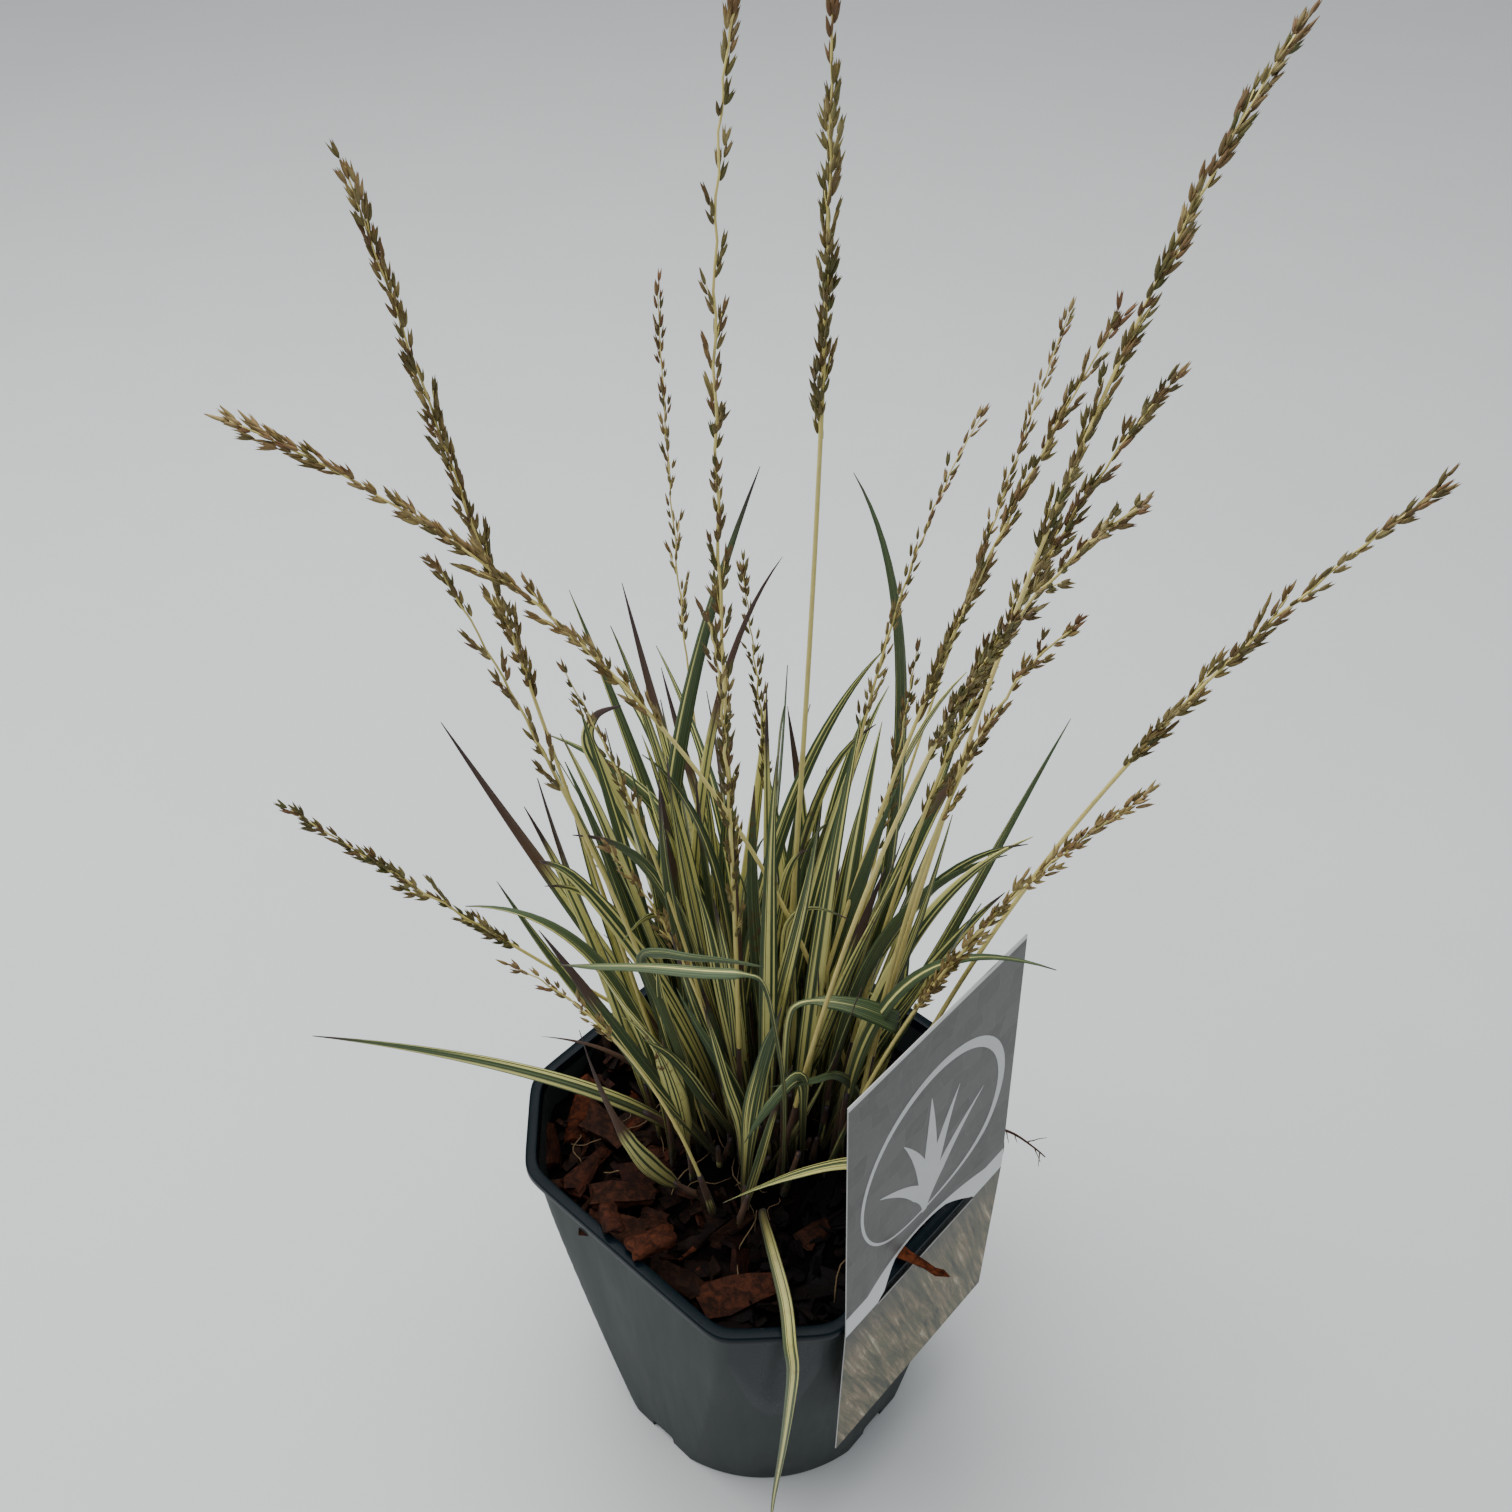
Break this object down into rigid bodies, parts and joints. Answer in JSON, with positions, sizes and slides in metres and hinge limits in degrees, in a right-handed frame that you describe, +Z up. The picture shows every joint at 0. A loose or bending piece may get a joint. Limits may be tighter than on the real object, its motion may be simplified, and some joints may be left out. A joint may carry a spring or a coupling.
{
  "type": "potted ornamental grass",
  "caption": "Variegated purple moor grass with striped leaves and flowering stems, in a dark moulded square pot with cut corners and a label hooked over its rim.",
  "frame": {"origin": "centre of the pot's underside", "axes": "+Z up; the pot's cut corners face -X, +X, -Y and +Y, the front cut corner faces -Y, and the label hangs on the long side that faces +X -Y"},
  "size_m": [0.347, 0.2372, 0.6061],
  "materials": {
    "pot_plastic": "dark blue-grey moulded plastic with a soft sheen, dusty near the base",
    "compost": "rough dark compost with bark and fibre",
    "crown_bases": "matt fibrous shoot bases, straw to olive",
    "label_card": "printed plastic-coated card with a soft sheen",
    "leaf_blade": "ribbed leaf, cream-yellow with green stripes, satin",
    "culm_stem": "smooth straw-yellow stem with olive-brown spikelets",
    "bark": "rough red-brown bark",
    "root_fibre": "dark rough root"
  },
  "bodies": {
    "root": {"pot": "pot_plastic", "growing_medium": "compost", "crown": "crown_bases", "label": "label_card", "leaf_01": "leaf_blade", "leaf_02": "leaf_blade", "leaf_03": "leaf_blade", "leaf_04": "leaf_blade", "leaf_05": "leaf_blade", "leaf_06": "leaf_blade", "leaf_07": "leaf_blade", "leaf_08": "leaf_blade", "leaf_09": "leaf_blade", "leaf_10": "leaf_blade", "leaf_11": "leaf_blade", "leaf_12": "leaf_blade", "leaf_13": "leaf_blade", "leaf_14": "leaf_blade", "leaf_15": "leaf_blade", "leaf_16": "leaf_blade", "leaf_17": "leaf_blade", "leaf_18": "leaf_blade", "leaf_19": "leaf_blade", "leaf_20": "leaf_blade", "leaf_21": "leaf_blade", "leaf_22": "leaf_blade", "leaf_23": "leaf_blade", "leaf_24": "leaf_blade", "leaf_25": "leaf_blade", "leaf_26": "leaf_blade", "leaf_27": "leaf_blade", "leaf_28": "leaf_blade", "leaf_29": "leaf_blade", "leaf_30": "leaf_blade", "culm_01": "culm_stem", "culm_02": "culm_stem", "culm_03": "culm_stem", "culm_04": "culm_stem", "culm_05": "culm_stem", "culm_06": "culm_stem", "culm_07": "culm_stem", "culm_08": "culm_stem", "culm_09": "culm_stem", "culm_10": "culm_stem", "culm_11": "culm_stem", "culm_12": "culm_stem", "culm_13": "culm_stem", "culm_14": "culm_stem", "culm_15": "culm_stem", "culm_16": "culm_stem", "culm_17": "culm_stem", "culm_18": "culm_stem", "culm_19": "culm_stem", "culm_20": "culm_stem", "culm_21": "culm_stem", "culm_22": "culm_stem", "bark_chip_1": "bark", "bark_chip_2": "bark", "bark_chip_3": "bark", "rootlet": "root_fibre"}
  },
  "joints": []
}
